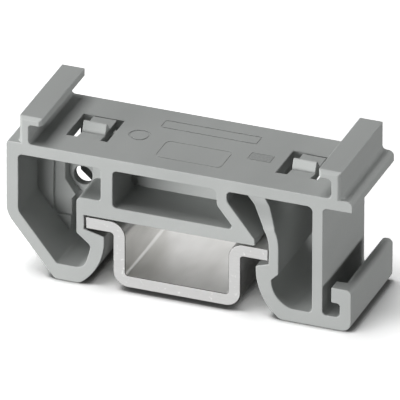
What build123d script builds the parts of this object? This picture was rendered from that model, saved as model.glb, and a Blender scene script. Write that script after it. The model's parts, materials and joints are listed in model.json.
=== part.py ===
"""Clip-on mounting foot on a short length of 15 mm mini top-hat rail, in millimetres.

+X runs across the rail, from the fixed jaw to the latch, +Y along the rail and +Z away from
the wall that the rail is screwed to. The origin is the middle of the rail seat, which is the
underside of the web that lies on the rail, halfway through the depth of the foot.
"""

import os
from math import atan2, sin, tan

from build123d import *

os.makedirs("parts", exist_ok=True)

# Rail: a standard mini top-hat section
rail_width = 15.0  # over both flanges
rail_height = 5.5
rail_sheet = 1.0
rail_hat = 10.5  # outside width of the hat
rail_bend = 0.25  # inside radius of every bend
rail_length = 9.25

# Fit of the foot on the rail
seat_gap = 0.1  # between the web and the top of the rail
slot_gap = 0.2  # past the tip of the flange in the fixed jaw
arm_gap = 0.05  # past the tip of the flange at the latch arm
jaw_gap = 0.1  # under the flange, where the fixed jaw is closest
latch_gap = 0.28  # the same at the latch, which needs room to snap in

# Walls of the foot
foot_depth = 9.25  # along the rail
plate = 1.0  # top plate
web = 1.1  # bar on the rail
wall = 1.0  # left wall, left leg and the wall left of the middle chamber
thin_wall = 0.88  # wall right of the latch chamber
slant = 0.95  # slanted bar beside the latch arm
slant_neck = 0.85  # the same bar, where it leaves the plate
neck = 0.6  # behind the end of the flange slot
sole = 1.1  # under the latch chamber
left_sole = 1.35  # under the left chamber
partition = 1.0  # moulded in halfway through the depth
chamber_height = 3.2  # from the web to the plate

# Where the walls stand, measured from the middle of the rail
plate_margin = 1.05  # from the left post to the end of the plate
ledge_reach = 0.95  # the same at the right post
stand_off = 0.4  # how far the legs reach below the rail
middle_left = 5.3  # left side of the middle chamber
slant_top = 3.25  # right side of the middle chamber, under the plate
web_end = 6.42  # right end of the bar on the rail
web_nose = 0.55  # its height there
latch_room = 2.75  # from the latch arm to the wall beside it
shelf = 1.5  # floor of the left chamber beside the rail
leg_knee = -1.0  # level where the left wall turns inward
lean = atan2(5.0, 4.0)  # slope of the left leg and of the slanted bar

# Channel on top of the plate, for the device
channel_width = 24.9
channel_shift = 0.2  # from the middle of the rail to the right
channel_height = 1.68
post = 0.8
lip = 0.67
lip_overhang = 1.1
post_bevel = 0.25  # on their front ends
post_root = 0.33  # rounding at the foot of each post, on its outside
ledge = 0.95  # thickness of the ledge beside the right post

# Windows in the plate, each with a latching tongue
window_width = 3.4
window_length = 3.8
window_front = 2.6  # from the front of the foot
window_inset = 3.8  # from the side of the channel to the middle of the window
tongue_width = 1.95
tongue_shift = 0.14  # from the middle of the window to the right
tongue_sheet = 0.7
tongue_valley = 1.15  # from its root to the bottom of its dip
tongue_crest = 1.55  # to the crest of its ridge
tongue_back = 2.15  # and to where the ridge comes down to the plate's level
tongue_rise = 0.8
tongue_dip = 0.16
tongue_round = 0.15
tongue_slit = 0.18  # between its free end and the window

# Hooks under the flanges
jaw_tip = -6.0
jaw_slope = 0.24  # fall of the jaw's top for each millimetre
jaw_shoulder = -1.62  # level where the inside of the jaw leaves the neck
jaw_bulge = (-7.1, -2.6)  # inside of the jaw where it is widest
jaw_heel = -7.66  # inside of the jaw at the sole
jaw_bend = 0.45
heel_bend = 0.9
hook_curve = 5.0
hook_run = 2.0  # from a hook's tip to where its curve meets the ground
hook_reach = 1.05
hook_drop = 0.32
notch_level = -2.1
notch_depth = 0.58
heel_curve = 2.2
heel_run = 1.7

# Latch arm, a leaf spring that hangs from the plate
arm = 0.82
arm_root = 5.0  # left side of the arm under the plate
arm_root_width = 1.6
arm_knee = 1.1  # level where it turns upright
arm_bend = 3.2
arm_recess = 1.0  # set back below the plate, front and back
recess_low = 1.6
recess_high = 3.06

# Clip for a marking strip, at the bottom right
clip_height = 3.6
clip_groove = 1.4
clip_wall = 0.95
clip_lip = 0.7
clip_lip_height = 1.3
clip_lip_length = 1.2  # along the rail, from the front
clip_crown = 0.4

# Partition in the left chamber
panel = 1.1
panel_width = 2.2  # from the left wall
panel_step = 1.35  # from the left wall to the shallow recess in the panel
panel_step_depth = 0.25
panel_sill = -2.6
panel_bend = 0.4  # level where its edge turns outward
panel_nose = 0.85
panel_nose_drop = 1.2
panel_toe = 2.75  # from the left wall, along its lower edge
panel_toe_drop = 0.42
bored_wall = 0.75
bore_radius = 0.8
bore_inset = 1.15  # from the edge of the panel
bore_level = 0.5
lug_top = 3.0
lug_bottom = -0.9
lug_toe = 0.9  # from the edge of the panel
buttress_front = 3.45  # from the front of the foot
rear_panel = 1.0
rear_panel_inset = 1.95  # from the left wall
rear_panel_knee = -0.72
rear_panel_fall = 0.87  # fall of its lower edge for each millimetre

# Rounding
soft = 0.12
edge = 0.25
inner = 0.35
full = 0.45
broad = 0.8
knee_bend = 2.0

# Levels, from the seat, and reaches to both sides
plate_bottom = web + chamber_height
plate_top = plate_bottom + plate
lip_bottom = plate_top + channel_height
lip_top = lip_bottom + lip
rail_top = -seat_gap
flange_bottom = rail_top - rail_sheet
rail_bottom = rail_top - rail_height
base = rail_bottom - stand_off
channel_left = channel_shift - channel_width / 2
channel_right = channel_shift + channel_width / 2
left_reach = post + plate_margin - channel_left
right_reach = channel_right + post + ledge_reach
front = foot_depth / 2
front_face = Plane.XZ.offset(front)
along = (0, 1, 0)


def corners(sketch, *points):
    """The vertices of a sketch at the given points."""
    return [sketch.vertices().sort_by_distance(point)[0] for point in points]


def leg_x(level, thickness=0.0):
    """Where the slanted leg is at a level, on its outside or so deep in it."""
    return -left_reach + (leg_knee - level) / tan(lean) + thickness / sin(lean)


def leg_z(x, thickness=0.0):
    """The level where the slanted leg, on its outside or so deep in it, reaches x."""
    return leg_knee - (x + left_reach - thickness / sin(lean)) * tan(lean)


# Rail section: one bent strip
hat_x = (rail_hat - rail_sheet) / 2
strip_low = rail_bottom + rail_sheet / 2
strip_high = rail_top - rail_sheet / 2

with BuildPart() as rail_section:
    with BuildSketch(Plane.XZ):
        with BuildLine():
            FilletPolyline(
                (-rail_width / 2, strip_high),
                (-hat_x, strip_high),
                (-hat_x, strip_low),
                (hat_x, strip_low),
                (hat_x, strip_high),
                (rail_width / 2, strip_high),
                radius=rail_bend + rail_sheet / 2,
            )
        trace(line_width=rail_sheet)
    extrude(amount=rail_length / 2, both=True)

rail_section.part.label = "rail_section"
export_step(rail_section.part, "parts/rail_section.step")

# Latch arm: the curved strip seen from the front, thinned where the side view narrows
slot_end = -rail_width / 2 - slot_gap
arm_face = rail_width / 2 + arm_gap
arm_back = arm_face + arm
arm_foot = flange_bottom
arm_top = plate_bottom + plate / 2

with BuildPart() as latch_arm:
    with BuildSketch(Plane.XZ) as arm_profile:
        with BuildLine():
            Polyline(
                (arm_face, arm_foot),
                (arm_face, arm_knee),
                (arm_root, plate_bottom),
                (arm_root, arm_top),
                (arm_root + arm_root_width, arm_top),
                (arm_root + arm_root_width, plate_bottom),
                (arm_back, arm_knee),
                (arm_back, arm_foot),
                close=True,
            )
        make_face()
        fillet(corners(arm_profile, (arm_face, arm_knee)), radius=arm_bend)
        fillet(corners(arm_profile, (arm_back, arm_knee)), radius=arm_bend + arm)
    extrude(amount=front, both=True)
    with BuildSketch(Plane.YZ):
        with BuildLine():
            Polyline(
                (-front, arm_foot),
                (front, arm_foot),
                (front, recess_low),
                (front - arm_recess, recess_high),
                (front - arm_recess, arm_top),
                (arm_recess - front, arm_top),
                (arm_recess - front, recess_high),
                (-front, recess_low),
                close=True,
            )
        make_face()
    extrude(amount=right_reach, both=True, mode=Mode.INTERSECT)

# Outline of the moulding, as seen from the front
latch_wall = arm_back + latch_room
wall_right = latch_wall + thin_wall
jaw_top = flange_bottom - jaw_gap
jaw_lip = jaw_top - jaw_slope * (jaw_tip - slot_end)
hook_top = flange_bottom - latch_gap
hook_tip = arm_face - hook_reach
hook_nose = hook_top - hook_drop
groove_floor = base + sole
clip_inside = wall_right + clip_groove
clip_side = clip_inside + clip_wall
clip_top = base + clip_height
clip_bottom = clip_top - clip_lip_height
clip_nose = clip_inside - clip_lip
gap_left = slant_top + slant_neck
gap_bend = web_nose + (web_end - gap_left) * tan(lean)
gap_right = arm_back + arm

with BuildSketch(front_face) as outline:
    with BuildLine():
        # channel between its two lipped posts, then the ledge and the marking clip
        Polyline(
            (-left_reach, leg_knee),
            (-left_reach, plate_top),
            (channel_left - post, plate_top),
            (channel_left - post, lip_top),
            (channel_left + lip_overhang, lip_top),
            (channel_left + lip_overhang, lip_bottom),
            (channel_left, lip_bottom),
            (channel_left, plate_top),
            (channel_right, plate_top),
            (channel_right, lip_bottom),
            (channel_right - lip_overhang, lip_bottom),
            (channel_right - lip_overhang, lip_top),
            (channel_right + post, lip_top),
            (channel_right + post, plate_top),
            (right_reach, plate_top),
            (right_reach, plate_top - ledge),
            (wall_right, plate_top - ledge),
            (wall_right, groove_floor),
            (clip_inside, groove_floor),
            (clip_inside, clip_top),
            (clip_side, clip_top),
            (clip_side, base),
            (hook_tip + hook_run, base),
        )
        # latch hook, the gap that frees its arm, and the seat on the rail
        RadiusArc((hook_tip + hook_run, base), (hook_tip, hook_nose), hook_curve)
        Polyline(
            (hook_tip, hook_nose),
            (arm_face, hook_top),
            (arm_face, arm_foot),
            (gap_right, arm_foot),
            (gap_right, plate_bottom),
            (gap_left, plate_bottom),
            (gap_left, gap_bend),
            (web_end, web_nose),
            (web_end, 0),
            (slot_end, 0),
            (slot_end, jaw_top),
            (jaw_tip, jaw_lip),
        )
        # fixed jaw and left leg
        RadiusArc((jaw_tip, jaw_lip), (jaw_tip - hook_run, base), hook_curve)
        Polyline((jaw_tip - hook_run, base), (leg_x(base), base), (-left_reach, leg_knee))
    make_face()
    fillet(corners(outline, (-left_reach, leg_knee)), radius=knee_bend)
    fillet(
        corners(
            outline,
            (clip_side, base),
            (hook_tip + hook_run, base),
            (jaw_tip - hook_run, base),
            (gap_left, gap_bend),
        ),
        radius=broad,
    )
    fillet(corners(outline, (leg_x(base), base), (right_reach, plate_top)), radius=full)
    fillet(corners(outline, (clip_inside, clip_top), (clip_side, clip_top)), radius=clip_crown)
    fillet(
        corners(
            outline,
            (channel_left, plate_top),
            (channel_right, plate_top),
            (channel_right, lip_bottom),
            (wall_right, plate_top - ledge),
            (wall_right, groove_floor),
            (clip_inside, groove_floor),
            (gap_left, plate_bottom),
            (web_end, web_nose),
        ),
        radius=inner,
    )
    fillet(corners(outline, (-left_reach, plate_top), (channel_left, lip_bottom)), radius=edge)
    fillet(
        corners(
            outline,
            (right_reach, plate_top - ledge),
            (hook_tip, hook_nose),
            (jaw_tip, jaw_lip),
            (web_end, 0),
        ),
        radius=soft,
    )

# Lip of the clip, at its front end only
with BuildSketch(front_face) as clip_profile:
    with BuildLine():
        Polyline(
            (clip_nose, clip_bottom),
            (clip_nose, clip_top),
            (clip_side - clip_crown, clip_top),
            (clip_side - clip_crown, clip_bottom - clip_crown),
            (clip_inside, clip_bottom - clip_crown),
            (clip_inside, clip_bottom),
            close=True,
        )
    make_face()
    fillet(corners(clip_profile, (clip_nose, clip_bottom), (clip_nose, clip_top)), radius=soft)
    fillet(corners(clip_profile, (clip_inside, clip_bottom)), radius=edge)

# Chambers between the walls
shelf_end = slot_end - neck
inner_knee = leg_knee + wall * (1 / sin(lean) - 1) * tan(lean)
left_floor = base + left_sole
right_floor = base + sole
slant_x = web_end - slant / sin(lean)
slant_bend = web_nose + (slant_x - slant_top) * tan(lean)
slant_foot = slant_x - (web - web_nose) / tan(lean)
heel_x = arm_back - notch_depth
heel_z = notch_level - notch_depth

with BuildSketch(front_face) as left_chamber:
    with BuildLine():
        Polyline(
            (wall - left_reach, plate_bottom),
            (-middle_left - wall, plate_bottom),
            (-middle_left - wall, shelf),
            (shelf_end, shelf),
            (shelf_end, jaw_shoulder),
            jaw_bulge,
            (jaw_heel, left_floor),
            (leg_x(left_floor, wall), left_floor),
            (wall - left_reach, inner_knee),
            close=True,
        )
    make_face()
    fillet(corners(left_chamber, (wall - left_reach, inner_knee)), radius=knee_bend - wall)
    fillet(corners(left_chamber, (jaw_heel, left_floor)), radius=heel_bend)
    fillet(corners(left_chamber, (shelf_end, shelf), jaw_bulge), radius=jaw_bend)
    fillet(
        corners(
            left_chamber,
            (wall - left_reach, plate_bottom),
            (-middle_left - wall, plate_bottom),
            (leg_x(left_floor, wall), left_floor),
        ),
        radius=inner,
    )
    fillet(corners(left_chamber, (-middle_left - wall, shelf), (shelf_end, jaw_shoulder)), radius=edge)

with BuildSketch(front_face) as middle_chamber:
    with BuildLine():
        Polyline(
            (-middle_left, plate_bottom),
            (slant_top, plate_bottom),
            (slant_top, slant_bend),
            (slant_foot, web),
            (-middle_left, web),
            close=True,
        )
    make_face()
    fillet(corners(middle_chamber, (slant_top, slant_bend)), radius=broad)
    fillet(corners(middle_chamber, (slant_top, plate_bottom)), radius=full)
    fillet(corners(middle_chamber, (-middle_left, plate_bottom), (-middle_left, web)), radius=inner)
    fillet(corners(middle_chamber, (slant_foot, web)), radius=edge)

with BuildSketch(front_face) as latch_chamber:
    with BuildLine():
        Polyline(
            (heel_x, heel_z),
            (arm_back, notch_level),
            (arm_back, plate_bottom),
            (latch_wall, plate_bottom),
            (latch_wall, right_floor),
            (heel_x + heel_run, right_floor),
        )
        RadiusArc((heel_x + heel_run, right_floor), (heel_x, heel_z), heel_curve)
    make_face()
    fillet(corners(latch_chamber, (latch_wall, plate_bottom)), radius=full)
    fillet(corners(latch_chamber, (latch_wall, right_floor)), radius=inner)
    fillet(corners(latch_chamber, (arm_back, notch_level), (heel_x, heel_z)), radius=edge)

# Partition of the left chamber: a panel on the leg, a lug with a bore, a buttress and a rear panel
inside_plate = plate_bottom + plate / 2
inside_wall = -middle_left - wall / 2
inside_neck = shelf_end + neck / 2
left_side = wall - left_reach
panel_edge = left_side + panel_width
nose_level = panel_bend - panel_nose_drop
rear_panel_edge = left_side + rear_panel_inset
rear_panel_foot = jaw_bulge[1] - wall

with BuildSketch(front_face) as panel_profile:
    with BuildLine():
        Polyline(
            (wall / 2 - left_reach, inside_plate),
            (panel_edge, inside_plate),
            (panel_edge, panel_bend),
            (panel_edge + panel_nose, nose_level),
            (left_side + panel_toe, nose_level - panel_toe_drop),
            (left_side + panel_toe, leg_z(left_side + panel_toe, wall / 2)),
            (wall / 2 - left_reach, leg_z(wall / 2 - left_reach, wall / 2)),
            close=True,
        )
    make_face()

with BuildSketch(front_face) as recess_profile:
    with BuildLine():
        Polyline(
            (left_side + panel_step, plate_bottom),
            (0, plate_bottom),
            (0, panel_sill),
            (left_side + panel_step, panel_sill),
            close=True,
        )
    make_face()

with BuildPart() as bored_lug:
    with BuildSketch(Plane.XZ.offset(partition / 2 - panel)):
        with BuildLine():
            Polyline(
                (left_side + panel_step, lug_top),
                (inside_wall, lug_top),
                (inside_wall, shelf - edge),
                (inside_neck, shelf - edge),
                (inside_neck, lug_bottom),
                (panel_edge + lug_toe, lug_bottom),
                (left_side + panel_step, panel_bend),
                close=True,
            )
        make_face()
        with Locations((panel_edge + bore_inset, bore_level)):
            Circle(bore_radius, mode=Mode.SUBTRACT)
    extrude(amount=-bored_wall)

with BuildSketch(front_face) as buttress_profile:
    with BuildLine():
        Polyline(
            (shelf_end, inside_plate),
            (inside_wall, inside_plate),
            (inside_wall, shelf - edge),
            (inside_neck, shelf - edge),
            (inside_neck, shelf - jaw_bend),
            (shelf_end, shelf - jaw_bend),
            close=True,
        )
    make_face()

with BuildSketch(front_face) as rear_profile:
    with BuildLine():
        Polyline(
            (rear_panel_edge, inside_plate),
            (inside_wall, inside_plate),
            (inside_wall, shelf - edge),
            (inside_neck, shelf - edge),
            (inside_neck, jaw_shoulder),
            (jaw_bulge[0] + wall / 2, jaw_bulge[1]),
            (jaw_bulge[0] + wall / 2, rear_panel_foot),
            (rear_panel_edge + (rear_panel_knee - rear_panel_foot) / rear_panel_fall, rear_panel_foot),
            (rear_panel_edge, rear_panel_knee),
            close=True,
        )
    make_face()

# Tongue in a window, seen from the side, from its root at the front of the window
root = window_front - front
valley = root + tongue_valley
crest = root + tongue_crest
tip = root + window_length - tongue_slit
tongue_low = plate_top - tongue_dip

with BuildPart() as tongues:
    with BuildSketch(Plane.YZ) as tongue_profile:
        with BuildLine():
            Polyline(
                (root - wall / 2, plate_top),
                (root, plate_top),
                (valley, tongue_low),
                (crest, plate_top + tongue_rise),
                (root + tongue_back, plate_top),
                (tip, plate_top),
                (tip, plate_top - tongue_sheet),
                (valley, tongue_low - tongue_sheet),
                (root - wall / 2, plate_bottom),
                close=True,
            )
        make_face()
        fillet(corners(tongue_profile, (crest, plate_top + tongue_rise)), radius=tongue_round)
    extrude(amount=tongue_width / 2, both=True)

# Foot: the outline through the whole depth, its chambers, and what stands in them
with BuildPart() as mounting_foot:
    extrude(outline.sketch, amount=foot_depth, dir=along)
    ends = mounting_foot.edges().filter_by(lambda line: line.center().Y < soft - front)
    tops = ends.filter_by(Axis.X).filter_by(lambda line: abs(line.center().Z - lip_top) < soft)
    sides = ends.filter_by(Axis.Z).filter_by(lambda line: line.center().Z > plate_top + soft)
    inner_sides = (channel_left, channel_right)
    chamfer(
        tops + sides.filter_by(lambda line: min(abs(line.center().X - side) for side in inner_sides) > soft),
        length=post_bevel,
    )
    feet = mounting_foot.edges().filter_by(Axis.Y).filter_by(lambda line: abs(line.center().Z - plate_top) < soft)
    fillet(
        feet.sort_by_distance((channel_left - post, 0, plate_top))[0:1]
        + feet.sort_by_distance((channel_right + post, 0, plate_top))[0:1],
        radius=post_root,
    )
    extrude(clip_profile.sketch, amount=clip_lip_length, dir=along)
    extrude(left_chamber.sketch, amount=foot_depth, dir=along, mode=Mode.SUBTRACT)
    extrude(latch_chamber.sketch, amount=foot_depth, dir=along, mode=Mode.SUBTRACT)
    for side in (-1, 1):
        with BuildSketch(Plane.XZ.offset(side * partition / 2)):
            add(middle_chamber.sketch_local)
        extrude(amount=side * (front - partition / 2), mode=Mode.SUBTRACT)
    add(latch_arm.part)

    with BuildSketch(Plane.XZ.offset(partition / 2)):
        add(panel_profile.sketch_local)
    extrude(amount=-panel)
    with BuildSketch(Plane.XZ.offset(partition / 2)):
        add(recess_profile.sketch_local)
        add(panel_profile.sketch_local, mode=Mode.INTERSECT)
        add(left_chamber.sketch_local, mode=Mode.INTERSECT)
    extrude(amount=-panel_step_depth, mode=Mode.SUBTRACT)
    add(bored_lug.part)
    with BuildSketch(Plane.XZ.offset(front - buttress_front)):
        add(buttress_profile.sketch_local)
    extrude(amount=buttress_front - front + partition / 2 - panel)
    with BuildSketch(Plane.XZ.offset(-front)):
        add(rear_profile.sketch_local)
    extrude(amount=rear_panel)

    window_spots = (channel_left + window_inset, channel_right - window_inset)
    with BuildSketch(Plane.XY.offset(plate_top)):
        with Locations(*((spot, root + window_length / 2) for spot in window_spots)):
            Rectangle(window_width, window_length)
    extrude(amount=-plate, mode=Mode.SUBTRACT)
    with Locations(*((spot + tongue_shift, 0) for spot in window_spots)):
        add(tongues.part)

mounting_foot.part.label = "mounting_foot"
export_step(mounting_foot.part, "parts/mounting_foot.step")
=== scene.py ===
# %% [markdown]
# # A clip-on mounting foot on its rail
#
# The foot is one moulding of grey polyamide. It hooks a fixed jaw under one flange of a small
# top-hat rail and snaps a latch under the other. This scene dresses the imported model of the foot
# and of the rail piece that it grips: it rounds their edges, presses the shallow fields into the
# plate, and gives plastic, zinc and floor their finishes.
#
# Everything is in metres and in the frame of the imported model, where +X runs across the rail,
# +Y along it and +Z away from the wall. The boxes of the imported nodes are read and printed once
# the model is loaded.

# %% Load the imported model
import json
from math import cos, radians, sin

import bmesh
import bpy
from mathutils import Matrix, Vector


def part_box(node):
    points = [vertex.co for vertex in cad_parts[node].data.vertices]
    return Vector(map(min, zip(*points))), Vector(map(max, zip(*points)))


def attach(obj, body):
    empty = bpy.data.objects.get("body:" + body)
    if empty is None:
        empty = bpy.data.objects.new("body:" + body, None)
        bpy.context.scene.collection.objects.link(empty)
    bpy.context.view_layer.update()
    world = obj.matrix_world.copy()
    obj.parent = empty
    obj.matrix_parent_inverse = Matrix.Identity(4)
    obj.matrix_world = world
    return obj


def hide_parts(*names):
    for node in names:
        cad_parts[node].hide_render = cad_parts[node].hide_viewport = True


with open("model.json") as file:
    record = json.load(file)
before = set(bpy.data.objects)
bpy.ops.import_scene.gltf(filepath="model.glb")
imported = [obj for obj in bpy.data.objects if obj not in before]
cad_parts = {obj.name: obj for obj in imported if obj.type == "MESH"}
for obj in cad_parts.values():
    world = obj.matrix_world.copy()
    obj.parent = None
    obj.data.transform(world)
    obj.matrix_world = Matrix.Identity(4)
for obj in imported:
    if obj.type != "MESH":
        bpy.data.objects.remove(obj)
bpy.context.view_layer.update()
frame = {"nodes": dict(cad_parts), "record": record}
print("packed nodes:", sorted(frame["nodes"]))

# %% [markdown]
# The details on this part are tenths of a millimetre, so sizes in this lesson are written in
# millimetres. The tool that rounds edges also works best on numbers of about 1, so each piece is
# worked on in millimetres and brought back to metres when it is done.
#
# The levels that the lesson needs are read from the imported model: the boxes of its two nodes, and
# the height of the device channel's mount, which lies on the face of the plate.

# %% Units and levels
MM = 0.001
foot_low, foot_high = (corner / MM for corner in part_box("mounting_foot"))
rail_low, rail_high = (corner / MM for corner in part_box("rail_section"))
channel = next(mount for mount in frame["record"]["mounts"] if mount["name"] == "device_channel")
plate_top = channel["pos_m"][2] / MM
half_depth = foot_high.y
print("foot, in mm:", [round(v, 2) for v in foot_high - foot_low])
print("rail, in mm:", [round(v, 2) for v in rail_high - rail_low])
print("face of the plate, in mm:", plate_top)

# %% [markdown]
# ## Rounding what a mould and a saw leave
#
# No moulded edge is perfectly sharp: the mould's own corners are a few hundredths of a millimetre
# round, and that thin round is what catches the light and draws the shape. Modelling each round by
# hand would take hours, and a Bevel modifier adds them all.
#
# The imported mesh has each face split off, with its own vertices, so they are merged first, and the
# flat triangles are joined into whole faces, or the bevel would stop at each of them. Then every
# outer edge that is crisp gets a bevel weight of 1.

# %% What counts as flat and as crisp
merge_within = 0.002
flat_degrees = 0.6
crisp_degrees = 42
print("an edge that turns by more than", crisp_degrees, "degrees is crisp")


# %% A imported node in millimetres, with its edges ready
def open_copy(node_name):
    """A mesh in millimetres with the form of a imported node, its faces joined and its edges free."""
    mesh = frame["nodes"][node_name].data.copy()
    mesh.transform(Matrix.Scale(1 / MM, 4))
    work = bmesh.new()
    work.from_mesh(mesh)
    bmesh.ops.remove_doubles(work, verts=work.verts, dist=merge_within)
    flat_angle = radians(flat_degrees)
    bmesh.ops.dissolve_limit(work, angle_limit=flat_angle, verts=work.verts, edges=work.edges)
    to_round = work.edges.layers.float.new("bevel_weight_edge")
    for face in work.faces:
        face.smooth = True
    for line in work.edges:
        line.smooth = line.is_manifold and line.calc_face_angle() < radians(crisp_degrees)
        line[to_round] = 1.0 if line.is_convex and not line.smooth else 0.0
    print(node_name, "has", int(sum(line[to_round] for line in work.edges)), "edges to round")
    work.to_mesh(mesh)
    work.free()
    mesh.materials.clear()
    return mesh


# %% [markdown]
# Two of the bevel's settings matter here. Its clamp is off, because it would shrink every round to
# what fits at the tightest corner. Its loop slide is off as well: the large front face is one flat
# face with seams left in it, and new corners that slide along a seam fold over and leave a dark
# sliver.
#
# Weighted normals come last. They keep the large faces flat in shading while the rounds stay
# smooth. When all modifiers are applied, the mesh goes back to metres.


# %% Rounds, flat shading and the way back to metres
def rounded_piece(name, node_name, round_off):
    """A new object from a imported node, with a small round on every crisp outer edge."""
    piece = bpy.data.objects.new(name, open_copy(node_name))
    bpy.context.scene.collection.objects.link(piece)
    bevel = piece.modifiers.new("rounded edges", "BEVEL")
    bevel.width = round_off
    bevel.segments = 2
    bevel.limit_method = "WEIGHT"
    bevel.use_clamp_overlap = False
    bevel.loop_slide = False
    bevel.miter_outer = "MITER_ARC"
    return piece


def keep_flat_shading(piece):
    """Weighted normals, so that a large flat face isn't shaded by the rounds beside it."""
    weighted = piece.modifiers.new("flat faces", "WEIGHTED_NORMAL")
    weighted.keep_sharp = True
    weighted.weight = 100


def apply_in_metres(piece):
    """Applies the modifiers of a piece and brings its mesh back to metres."""
    graph = bpy.context.evaluated_depsgraph_get()
    mesh = bpy.data.meshes.new_from_object(piece.evaluated_get(graph), depsgraph=graph)
    piece.modifiers.clear()
    mesh.transform(Matrix.Scale(MM, 4))
    piece.data = mesh
    mesh.name = piece.name
    print(piece.name, "has", len(mesh.polygons), "faces")


# %% [markdown]
# ## The foot
#
# The plate carries a few shallow marks that the mould leaves: a round gate mark, a field in front,
# a long field behind it and a small one at the right. They are a few hundredths of a millimetre
# deep. They could be a bump texture, but real grooves keep their form in any light, so each is a
# thin closed cutter, and a Boolean modifier takes it out.
#
# A cutter is a ring of rectangular section that follows an outline. It stands a little out of the
# plate, because a cutter that ends right in the plate's face leaves the solver to guess on which
# side of that face it is.

# %% A cutter along an outline
stand_out = 0.2


def groove(bm, outline, width, depth):
    """Adds a closed ring along an outline in the plate to a mesh of cutters."""
    count = len(outline)
    middle = sum((Vector(point) for point in outline), Vector((0, 0))) / count
    rings = []
    for side in (-0.5, 0.5):
        for level in (plate_top - depth, plate_top + stand_out):
            ring = []
            for k in range(count):
                before, here, after = (Vector(outline[(k + step) % count]) for step in (-1, 0, 1))
                run = (after - before).normalized()
                out = Vector((run.y, -run.x))
                if out.dot(here - middle) < 0:
                    out = -out
                spot = here + out * width * side
                ring.append(bm.verts.new((spot.x, spot.y, level)))
            rings.append(ring)
    inner_low, inner_high, outer_low, outer_high = rings
    for first, second in (
        (inner_low, outer_low),
        (outer_low, outer_high),
        (outer_high, inner_high),
        (inner_high, inner_low),
    ):
        for k in range(count):
            after = (k + 1) % count
            bm.faces.new((first[k], first[after], second[after], second[k]))
    print("cutter of", 4 * count, "faces,", width, "mm wide and", depth, "mm deep")


# %% [markdown]
# Only two outlines are needed, a circle and a rectangle with round corners. Both are worked out
# from their sizes, so that a mark can be moved or made larger by one number.


# %% Outlines of the marks
def rounded_outline(left, right, near, far, corner, steps=5):
    """Points round a rectangle with round corners."""
    points = []
    for x, y, start in (
        (right - corner, far - corner, 0),
        (left + corner, far - corner, 90),
        (left + corner, near + corner, 180),
        (right - corner, near + corner, 270),
    ):
        for k in range(steps + 1):
            turn = radians(start + 90 * k / steps)
            points.append((x + corner * cos(turn), y + corner * sin(turn)))
    return points


def ring_outline(x, y, radius, steps=40):
    """Points round a circle."""
    turns = [radians(360 * k / steps) for k in range(steps)]
    return [(x + radius * cos(turn), y + radius * sin(turn)) for turn in turns]


# %% The cutters for the four marks
gate_mark = ring_outline(x=-4.82, y=-0.08, radius=0.78)
front_field = rounded_outline(left=-2.45, right=2.95, near=-2.92, far=-0.18, corner=0.42)
long_field = rounded_outline(left=-3.75, right=4.15, near=1.78, far=2.95, corner=0.16)
small_sides = {"left": 4.35, "right": 6.2, "near": -0.72, "far": 0.36}
small_line = 0.12

cutters = bmesh.new()
groove(cutters, gate_mark, width=0.2, depth=0.06)
groove(cutters, front_field, width=0.14, depth=0.04)
groove(cutters, long_field, width=0.13, depth=0.05)
groove(cutters, rounded_outline(**small_sides, corner=0.1), width=small_line, depth=0.04)
bmesh.ops.recalc_face_normals(cutters, faces=cutters.faces)
cutter_mesh = bpy.data.meshes.new("plate_marks")
cutters.to_mesh(cutter_mesh)
cutters.free()
plate_marks = bpy.data.objects.new("plate_marks", cutter_mesh)
bpy.context.scene.collection.objects.link(plate_marks)

# %% [markdown]
# The bevel comes first and the grooves after it. The bevel needs the mesh that was prepared for
# it, with a weight on each edge, and grooves this fine are best cut into the finished form, with
# their own edges left crisp. The cutters are only tools, so they are deleted when the modifiers
# have been applied.

# %% The foot with its rounds and marks
foot_round = 0.06
foot_body = rounded_piece("foot_body", "mounting_foot", foot_round)
press = foot_body.modifiers.new("plate marks", "BOOLEAN")
press.operation = "DIFFERENCE"
press.solver = "EXACT"
press.object = plate_marks
keep_flat_shading(foot_body)
apply_in_metres(foot_body)
bpy.data.objects.remove(plate_marks)

# %% [markdown]
# ## The rail
#
# The rail is sheet steel, bent to a hat and zinc plated, and here it is sawn off as long as the
# foot is deep. Its long edges are a little rounder than its sawn ones, but at this size one small
# round does for both.

# %% The rail piece
rail_round = 0.05
rail_strip = rounded_piece("rail_strip", "rail_section", rail_round)
keep_flat_shading(rail_strip)
apply_in_metres(rail_strip)

# %% [markdown]
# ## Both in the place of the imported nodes
#
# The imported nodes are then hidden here, but they stay in the physics model as the shapes that
# collide.

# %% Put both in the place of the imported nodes
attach(foot_body, "foot")
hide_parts("mounting_foot")
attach(rail_strip, "rail")
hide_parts("rail_section")
print("pieces:", foot_body.name, "and", rail_strip.name)

# %% [markdown]
# ## Effects that the finishes share
#
# Three effects are built once and placed in each material that needs them. Each is a node group
# with named inputs, so a material only sets how strong and how fine it is. A group gives out masks
# and heights, and the shader itself stays in the material.
#
# Node trees are easier to read as one line for each node, so the helpers below make a node, give
# it its inputs and hand on its output. An input is given by its name, or by its number as i0, i1
# and so on where a node has several of one name.


# %% Make a node group and a node
def new_group(name, inputs, outputs):
    """An empty node group with sockets for numbers, and its two end nodes."""
    tree = bpy.data.node_groups.new(name, "ShaderNodeTree")
    for label, value in inputs.items():
        socket = tree.interface.new_socket(name=label, in_out="INPUT", socket_type="NodeSocketFloat")
        socket.default_value = value
    for label in outputs:
        tree.interface.new_socket(name=label, in_out="OUTPUT", socket_type="NodeSocketFloat")
    print("group", name, "takes", list(inputs), "and gives", list(outputs))
    return tree, tree.nodes.new("NodeGroupInput"), tree.nodes.new("NodeGroupOutput")


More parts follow.
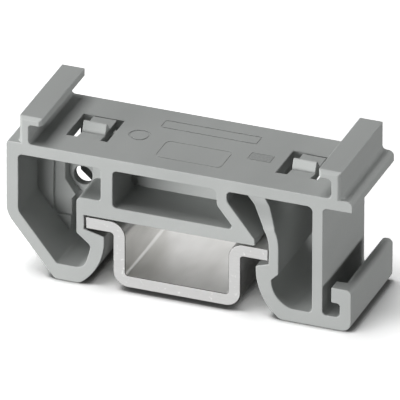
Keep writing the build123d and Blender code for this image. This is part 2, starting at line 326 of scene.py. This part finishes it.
def add_node(tree, kind, settings=(), **sockets):
    """A node with its settings, and its input sockets given as numbers, colours or other sockets."""
    made = tree.nodes.new(kind)
    for key, value in dict(settings).items():
        setattr(made, key, value)
    for label, value in sockets.items():
        by_number = label[1:].isdigit()
        socket = made.inputs[int(label[1:]) if by_number else label.replace("_", " ")]
        if isinstance(value, bpy.types.NodeSocket):
            tree.links.new(value, socket)
        else:
            socket.default_value = value
    return made


# %% Sums, ranges and noises
def maths(tree, operation, a, b=0.0, clamp=False):
    """The result of one operation on two numbers."""
    settings = {"operation": operation, "use_clamp": clamp}
    return add_node(tree, "ShaderNodeMath", settings, i0=a, i1=b).outputs[0]


def remap(tree, value, low, high, to_low=0.0, to_high=1.0):
    """A number between low and high, brought to lie between to_low and to_high."""
    limits = {"i1": low, "i2": high, "i3": to_low, "i4": to_high}
    return add_node(tree, "ShaderNodeMapRange", i0=value, **limits).outputs[0]


def noise(tree, place, scale, detail, roughness=0.5):
    """A noise from 0 to 1, with as many bumps to a metre as its scale says."""
    sockets = {"Vector": place, "Scale": scale, "Detail": detail, "Roughness": roughness}
    return add_node(tree, "ShaderNodeTexNoise", **sockets).outputs[0]


# %% [markdown]
# **Mould grain.** The steel mould is spark eroded, which prints a fine even pebble on the
# plastic. Two noises of different size make it: the coarse one gives the height, and the fine one
# breaks up the tone and the shine.

# %% Mould grain
speck_fineness = 2.3

grain_tree, ends, out = new_group("mould grain", {"Size": 0.16 * MM}, ("Height", "Fleck"))
place = add_node(grain_tree, "ShaderNodeTexCoord").outputs["Object"]
fineness = maths(grain_tree, "DIVIDE", 1.0, ends.outputs["Size"])
pebble = noise(grain_tree, place, fineness, detail=3.0, roughness=0.55)
finer = maths(grain_tree, "MULTIPLY", fineness, speck_fineness)
speck = noise(grain_tree, place, finer, detail=2.0)
grain_tree.links.new(pebble, out.inputs["Height"])
grain_tree.links.new(remap(grain_tree, speck, low=0.35, high=0.7), out.inputs["Fleck"])

# %% [markdown]
# **Tone drift.** Plastic flows through the mould in streaks and plating runs cloudy, so no surface
# has one tone. A slow noise gives a mask for both. A noise is drawn out along an axis by making
# the coordinate there smaller, and here a named input does that along Y.


# %% Tone drift
def stretched(tree, place, factors):
    """A place multiplied along X, Y and Z, which draws out or presses together a noise there."""
    settings = {"operation": "MULTIPLY"}
    return add_node(tree, "ShaderNodeVectorMath", settings, i0=place, i1=factors).outputs[0]


drift_tree, ends, out = new_group("tone drift", {"Size": 6 * MM, "Stretch": 1.0}, ("Tone",))
place = add_node(drift_tree, "ShaderNodeTexCoord").outputs["Object"]
stretch = add_node(drift_tree, "ShaderNodeCombineXYZ", i0=1.0, i1=ends.outputs["Stretch"], i2=1.0)
fineness = maths(drift_tree, "DIVIDE", 1.0, ends.outputs["Size"])
clouds = noise(drift_tree, stretched(drift_tree, place, stretch.outputs[0]), fineness, detail=2.0)
drift_tree.links.new(remap(drift_tree, clouds, low=0.3, high=0.7), out.inputs["Tone"])

# %% [markdown]
# ** Edge mask.** Edges are paler on the plastic, partly as wear and partly as a painted highlight,
# and darker on the zinc as painted shade, so a mask of the edges serves both. The Bevel node gives
# the normal that a rounder edge would have. Where it differs from the true normal, an edge is near.

# %% Edge mask, for worn and highlighted edges and for painted edge shade
edge_tree, ends, out = new_group("edge mask", {"Reach": 0.12 * MM}, ("Edge",))
bent = add_node(edge_tree, "ShaderNodeBevel", {"samples": 4}, Radius=ends.outputs["Reach"]).outputs[0]
true_normal = add_node(edge_tree, "ShaderNodeNewGeometry").outputs["Normal"]
same = add_node(edge_tree, "ShaderNodeVectorMath", {"operation": "DOT_PRODUCT"}, i0=bent, i1=true_normal)
edge = remap(edge_tree, same.outputs["Value"], low=0.98, high=0.75)
edge_tree.links.new(edge, out.inputs["Edge"])

# %% [markdown]
# A new material starts with a shader and an output. An effect is placed beside them as a group
# node, with this material's own values in its named inputs.


# %% Start a material and place an effect in it
def new_finish(name):
    """A material, its node tree and the shader in it."""
    finish = bpy.data.materials.new(name)
    finish.use_nodes = True
    print("finish:", name)
    return finish, finish.node_tree, finish.node_tree.nodes["Principled BSDF"]


def effect(tree, group, **values):
    """The outputs of a shared effect that is placed in a material with values of its own."""
    placed = add_node(tree, "ShaderNodeGroup", {"node_tree": group})
    for label, value in values.items():
        placed.inputs[label].default_value = value
    return placed.outputs


# %% [markdown]
# ## Grey polyamide
#
# Glass-filled polyamide in a light, slightly cool grey. A single colour would look like a drawing,
# so the colour drifts a little with the flow of the melt, and the grain darkens it in fine specks.


# %% Grey polyamide: the tone of the melt
def colour(red, green, blue):
    """An opaque colour, as the nodes take it."""
    return (red, green, blue, 1)


def blend_colours(tree, factor, a, b):
    """Colour a where the factor is 0 and colour b where it is 1."""
    return add_node(tree, "ShaderNodeMix", {"data_type": "RGBA"}, i0=factor, i6=a, i7=b).outputs[2]


melt_dark = colour(0.358, 0.370, 0.363)
melt_light = colour(0.392, 0.404, 0.396)
speck_dark = colour(0.25, 0.26, 0.255)
speck_strength = 0.06

plastic, tree, shader = new_finish("grey polyamide")
drift = effect(tree, drift_tree, Size=5 * MM, Stretch=0.4)
grain = effect(tree, grain_tree, Size=0.16 * MM)
tone = blend_colours(tree, drift["Tone"], melt_dark, melt_light)
specks = maths(tree, "MULTIPLY", grain["Fleck"], speck_strength)
tone = blend_colours(tree, specks, tone, speck_dark)
print("tone of the plastic from", melt_dark, "to", melt_light)

# %% [markdown]
# The small field at the right of the plate was etched coarser in the mould, so inside its groove
# the pebble mottles the tone. It could be a piece with its own material, but the field is part of
# the plate's face. A mask from the place does it: three comparisons, one for each axis, are 1
# inside a flat box round the field, and their product is 1 only where all three are.

# %% Grey polyamide: the etched field
etched_dark = colour(0.16, 0.165, 0.162)
field_half_height = 0.05


def between(tree, value, low, high):
    """1 where a value lies between two places in millimetres, and 0 elsewhere."""
    limits = {"i1": (low + high) / 2 * MM, "i2": (high - low) / 2 * MM}
    return add_node(tree, "ShaderNodeMath", {"operation": "COMPARE"}, i0=value, **limits).outputs[0]


place = add_node(tree, "ShaderNodeTexCoord").outputs["Object"]
spot = add_node(tree, "ShaderNodeSeparateXYZ", Vector=place).outputs
etched = 1.0
for axis, low, high in (
    ("X", small_sides["left"] + small_line / 2, small_sides["right"] - small_line / 2),
    ("Y", small_sides["near"] + small_line / 2, small_sides["far"] - small_line / 2),
    ("Z", plate_top - field_half_height, plate_top + field_half_height),
):
    etched = maths(tree, "MULTIPLY", between(tree, spot[axis], low, high), etched)
    print("etched field along", axis, "from", round(low, 3), "to", round(high, 3), "mm")
pebbles = effect(tree, grain_tree, Size=0.14 * MM)["Height"]
mottled = remap(tree, pebbles, low=0.35, high=0.65, to_low=0.15, to_high=0.45)
tone = blend_colours(tree, maths(tree, "MULTIPLY", mottled, etched), tone, etched_dark)

# %% [markdown]
# The edges of the moulding are a touch paler, partly as wear and partly as a painted highlight.
# The surface is satin: no sharp reflection, but a soft sheen where the light grazes it, so it is
# rough, and its specular level is half of the usual one. The grain changes the roughness a little
# and feeds a bump. Modelled as real faces, its pebbles would need several hundred thousand of them.

# %% Grey polyamide: its edges, sheen and grain
# Paler edges: partly wear and partly a painted highlight.
pale_edge_wear_and_highlight = colour(0.62, 0.63, 0.62)
pale_strength = 0.25

# The edge mask paints the edges paler, partly as wear and partly as a painted highlight.
edge_nearness = effect(tree, edge_tree, Reach=0.1 * MM)["Edge"]
pale = maths(tree, "MULTIPLY", edge_nearness, pale_strength)
tree.links.new(blend_colours(tree, pale, tone, pale_edge_wear_and_highlight), shader.inputs["Base Color"])
satin = remap(tree, grain["Fleck"], low=0.0, high=1.0, to_low=0.55, to_high=0.68)
tree.links.new(satin, shader.inputs["Roughness"])
relief = {"Strength": 0.25, "Distance": 0.02 * MM, "Height": grain["Height"]}
bump = add_node(tree, "ShaderNodeBump", **relief)
tree.links.new(bump.outputs[0], shader.inputs["Normal"])
shader.inputs["IOR"].default_value = 1.5
shader.inputs["Specular IOR Level"].default_value = 0.25
foot_body.data.materials.append(plastic)
print(foot_body.name, "is", plastic.name)

# %% [markdown]
# ## Zinc plated steel
#
# The rail is rolled, and its two ends are sawn through. A fine dark line is painted round each end,
# where it meets the rolled faces, as painted shade. These could be three materials on chosen faces,
# but then one would meet the next in a hard step at a face's border. The rail is straight, so the
# direction of the surface alone tells them apart: along the rail on an end, across it on a rolled
# face, and between the two on the rounded edge that takes the painted dark line. Masks from it change
# softly.

# %% Zinc plated steel: ends, rolled faces and a band for painted shade
zinc, tree, shader = new_finish("zinc plated steel")
coordinates = add_node(tree, "ShaderNodeTexCoord").outputs
facing = add_node(tree, "ShaderNodeSeparateXYZ", Vector=coordinates["Normal"])
along_rail = maths(tree, "ABSOLUTE", facing.outputs["Y"])
sawn = remap(tree, along_rail, low=0.8, high=0.95)
rolled_side = remap(tree, along_rail, low=0.08, high=0.3, to_low=1.0, to_high=0.0)
not_sawn = maths(tree, "SUBTRACT", 1.0, sawn)
shade_line_band = maths(tree, "SUBTRACT", not_sawn, rolled_side, clamp=True)
print("masks from the direction: ends, rolled faces and painted edge lines")

# %% [markdown]
# Rolling leaves fine lines along the rail, and the saw leaves strokes across its ends and a few
# bright nicks. The lines and the strokes are noises that are drawn out, and their numbers say how
# many bumps they have to a millimetre along X, Y and Z. The nicks are the peaks of a plain noise.

# %% Zinc plated steel: lines, strokes and nicks
rolled_lines = (14, 0.5, 14)
saw_strokes = (0.9, 0.9, 16)
nicks_to_mm = 2.6


def lines_in(tree, place, to_a_millimetre):
    """A noise with its own number of bumps to a millimetre along each axis."""
    to_a_metre = [count / MM for count in to_a_millimetre]
    return noise(tree, stretched(tree, place, to_a_metre), scale=1.0, detail=2.0)


rolled = lines_in(tree, coordinates["Object"], rolled_lines)
strokes = lines_in(tree, coordinates["Object"], saw_strokes)
nicks = noise(tree, coordinates["Object"], scale=nicks_to_mm / MM, detail=1.0)
print("rolled lines", rolled_lines, "and saw strokes", saw_strokes, "to a millimetre")

# %% [markdown]
# Thin zinc makes the rolled faces bright, with a cloudy and faintly warm tone. The sawn ends show
# bare steel, matt and pale. Painted shade is laid over both as darker tones: a soft darkening near
# every edge and a fine dark line round each end.

# %% Zinc plated steel: its tones
zinc_dull = colour(0.61, 0.605, 0.585)
zinc_bright = colour(0.745, 0.74, 0.725)
steel_dull = colour(0.44, 0.44, 0.435)
steel_bright = colour(0.53, 0.53, 0.525)
nick_bright = colour(0.72, 0.72, 0.71)
# Painted shade: the rail's edges are darkened, and a fine dark line is painted round each end.
painted_edge_shade = colour(0.16, 0.155, 0.15)
edge_shade_strength = 0.6
painted_shade_line = colour(0.05, 0.049, 0.047)

cloudy = effect(tree, drift_tree, Size=2.5 * MM, Stretch=0.5)["Tone"]
edge_nearness = effect(tree, edge_tree, Reach=0.08 * MM)["Edge"]
plated = blend_colours(tree, cloudy, zinc_dull, zinc_bright)
cut = blend_colours(tree, strokes, steel_dull, steel_bright)
nicked = remap(tree, nicks, low=0.64, high=0.74, to_low=0.0, to_high=0.6)
cut = blend_colours(tree, nicked, cut, nick_bright)
skin = blend_colours(tree, sawn, plated, cut)
# Painted shade along the edges, then a painted dark line round each end.
skin = blend_colours(tree, maths(tree, "MULTIPLY", edge_nearness, edge_shade_strength), skin, painted_edge_shade)
skin = blend_colours(tree, shade_line_band, skin, painted_shade_line)
tree.links.new(skin, shader.inputs["Base Color"])
print("tone of the zinc from", zinc_dull, "to", zinc_bright)

# %% [markdown]
# The rolled lines vary the shine, the saw's strokes already vary the tone, and both feed the bump,
# so what shows in tone and shine is there in the relief too. A sawn end isn't fully metallic here:
# its scratches scatter light as a matt surface does, and a fully metallic end would go dark where
# nothing bright is mirrored in it.


# %% Zinc plated steel: its shine and relief
def blend_numbers(tree, factor, a, b):
    """Number a where the factor is 0 and number b where it is 1."""
    return add_node(tree, "ShaderNodeMix", {"data_type": "FLOAT"}, i0=factor, i2=a, i3=b).outputs[0]


sawn_roughness = 0.5
rolled_roughness = remap(tree, rolled, low=0.3, high=0.7, to_low=0.3, to_high=0.42)
roughness = blend_numbers(tree, sawn, rolled_roughness, sawn_roughness)
tree.links.new(roughness, shader.inputs["Roughness"])
metallic = remap(tree, sawn, low=0.0, high=1.0, to_low=0.9, to_high=0.25)
tree.links.new(metallic, shader.inputs["Metallic"])
height = blend_numbers(tree, sawn, rolled, strokes)
bump = add_node(tree, "ShaderNodeBump", Strength=0.2, Distance=0.01 * MM, Height=height)
tree.links.new(bump.outputs[0], shader.inputs["Normal"])
rail_strip.data.materials.append(zinc)
print(rail_strip.name, "is", zinc.name)

# %% [markdown]
# ## Floor, light and camera
#
# The foot stands on its two soles on a white table. A floor of plain white would throw so much
# light up that the chambers of the foot lose their depth. So its white shows only to the camera
# and through clear things, while for all other light the floor is a middle grey. That white is
# above 1, because the lamps are set for the foot and would leave a plain white grey. The floor
# lies a hundredth of a millimetre below the soles, so that no two faces coincide.
#
# Close to the soles a real table is dark with a fine line of shadow. An Ambient Occlusion node
# darkens the floor there: it looks how much of the sky over a spot is hidden within a few tenths
# of a millimetre.

# %% The floor
floor_half_side = 1.5
floor_gap = 0.01
floor_level = (foot_low.z - floor_gap) * MM
corner_signs = ((-1, -1), (1, -1), (1, 1), (-1, 1))
floor_mesh = bpy.data.meshes.new("floor")
floor_mesh.from_pydata(
    [(x * floor_half_side, y * floor_half_side, floor_level) for x, y in corner_signs],
    [],
    [(0, 1, 2, 3)],
)
floor = bpy.data.objects.new("floor", floor_mesh)
bpy.context.scene.collection.objects.link(floor)
print("floor at", round(floor_level / MM, 3), "mm")

# %% The floor's finish
table_grey = colour(0.3, 0.3, 0.3)
table_white = colour(1.65, 1.65, 1.65)
contact_dark = colour(0.2, 0.2, 0.2)
contact_reach = 0.8 * MM

paper, tree, shader = new_finish("white table")
tree.nodes.remove(shader)
ray = add_node(tree, "ShaderNodeLightPath").outputs
seen = maths(tree, "ADD", ray["Is Camera Ray"], ray["Is Transmission Ray"], clamp=True)
white = blend_colours(tree, seen, table_grey, table_white)
near = add_node(tree, "ShaderNodeAmbientOcclusion", {"samples": 8}, Distance=contact_reach)
contact = remap(tree, near.outputs["AO"], low=0.45, high=0.88, to_low=0.92, to_high=0.0)
white = blend_colours(tree, contact, white, contact_dark)
matt = add_node(tree, "ShaderNodeBsdfDiffuse", Color=white)
tree.links.new(matt.outputs[0], tree.nodes["Material Output"].inputs["Surface"])
floor_mesh.materials.append(paper)

# %% [markdown]
# The room round the table is white as well, but only as far as it is seen: by the camera, in
# reflections and through clear things. As a light it is nearly off, because light that comes from
# every side would fill the chambers, and the depth of a moulding shows in its dark insides.

# %% The room
room_light = colour(0.015, 0.015, 0.015)
room_white = colour(1, 1, 1)

world = bpy.data.worlds.new("studio")
bpy.context.scene.world = world
world.use_nodes = True
tree = world.node_tree
ray = add_node(tree, "ShaderNodeLightPath").outputs
seen = maths(tree, "ADD", ray["Is Camera Ray"], ray["Is Glossy Ray"])
seen = maths(tree, "ADD", seen, ray["Is Transmission Ray"], clamp=True)
studio = blend_colours(tree, seen, room_light, room_white)
tree.links.new(studio, tree.nodes["Background"].inputs["Color"])
print("room:", world.name)

# %% [markdown]
# Three soft lamps light the foot, each from the side of the faces that it is for. The strongest is
# low at the front left. It makes the front faces pale, and as its light comes in flat, it hardly
# reaches the floors of the chambers. One above lights the plate, and a weak one at the right lights
# the outer wall. Area lamps are used, because a wide lamp draws soft shadows, as a studio's soft
# box does, where a point or a sun draws hard ones. They stand half a metre away, with a power of a
# few watts, because the foot is no longer than a thumb joint.

# %% Lamps
lamp_distance = 0.5


def soft_lamp(name, direction, wide, high, power):
    """A rectangular area lamp that looks at the middle of the foot."""
    lamp = bpy.data.lights.new(name, "AREA")
    lamp.shape = "RECTANGLE"
    lamp.size, lamp.size_y = wide, high
    lamp.energy = power
    holder = bpy.data.objects.new(name, lamp)
    bpy.context.scene.collection.objects.link(holder)
    back = Vector(direction).normalized()
    holder.location = back * lamp_distance
    holder.rotation_euler = back.to_track_quat("Z", "Y").to_euler()
    print(name, "of", power, "W")


soft_lamp("front lamp", direction=(-0.6, -0.8, 0.04), wide=0.6, high=0.1, power=5.45)
soft_lamp("top lamp", direction=(-0.25, 0.0, 1.0), wide=0.4, high=0.3, power=1.8)
soft_lamp("side lamp", direction=(1.0, 0.25, 0.06), wide=0.3, high=0.1, power=1.4)

# %% [markdown]
# The photograph was taken from far away through a long lens, 28 degrees above the rail and 21
# degrees to the right of its axis, so lines that are parallel stay nearly parallel. The three
# directions of the camera are worked out from those angles and a roll of a sixth of a degree.
#
# Three more measures fit the picture: how many pixels a millimetre covers, and how far the middle
# of the picture lies to the right of and above a point on the rail's lower front edge. From them
# come the length of the lens and the spot that the camera looks at.

# %% Where the camera looks from
azimuth, elevation, roll = radians(20.75), radians(28.01), radians(0.17)
back = Vector((sin(azimuth) * cos(elevation), -cos(azimuth) * cos(elevation), sin(elevation)))
level_right = Vector((cos(azimuth), sin(azimuth), 0))
level_up = back.cross(level_right)
right = level_right * cos(roll) + level_up * sin(roll)
up = level_up * cos(roll) - level_right * sin(roll)
print("the camera looks from", [round(v, 3) for v in back])

# %% The camera
camera_distance = 1.45
pixels_to_mm = 12.9645
picture_pixels = 400
middle_right, middle_up = 1.875, 7.41
edge_point = Vector((-0.1, -half_depth, rail_low.z))

lens = bpy.data.cameras.new("camera")
lens.sensor_width = 36
lens.lens = pixels_to_mm / MM * camera_distance / picture_pixels * lens.sensor_width
lens.clip_start, lens.clip_end = 0.01, 10
camera = bpy.data.objects.new("camera", lens)
bpy.context.scene.collection.objects.link(camera)
aim = (level_right * middle_right + level_up * middle_up + edge_point) * MM
stand = Matrix((right, up, back)).transposed().to_4x4()
stand.translation = aim + back * camera_distance
camera.matrix_world = stand
bpy.context.scene.camera = camera
bpy.context.scene.view_settings.view_transform = "Standard"
print("lens of", round(lens.lens), "mm at", camera_distance, "m")
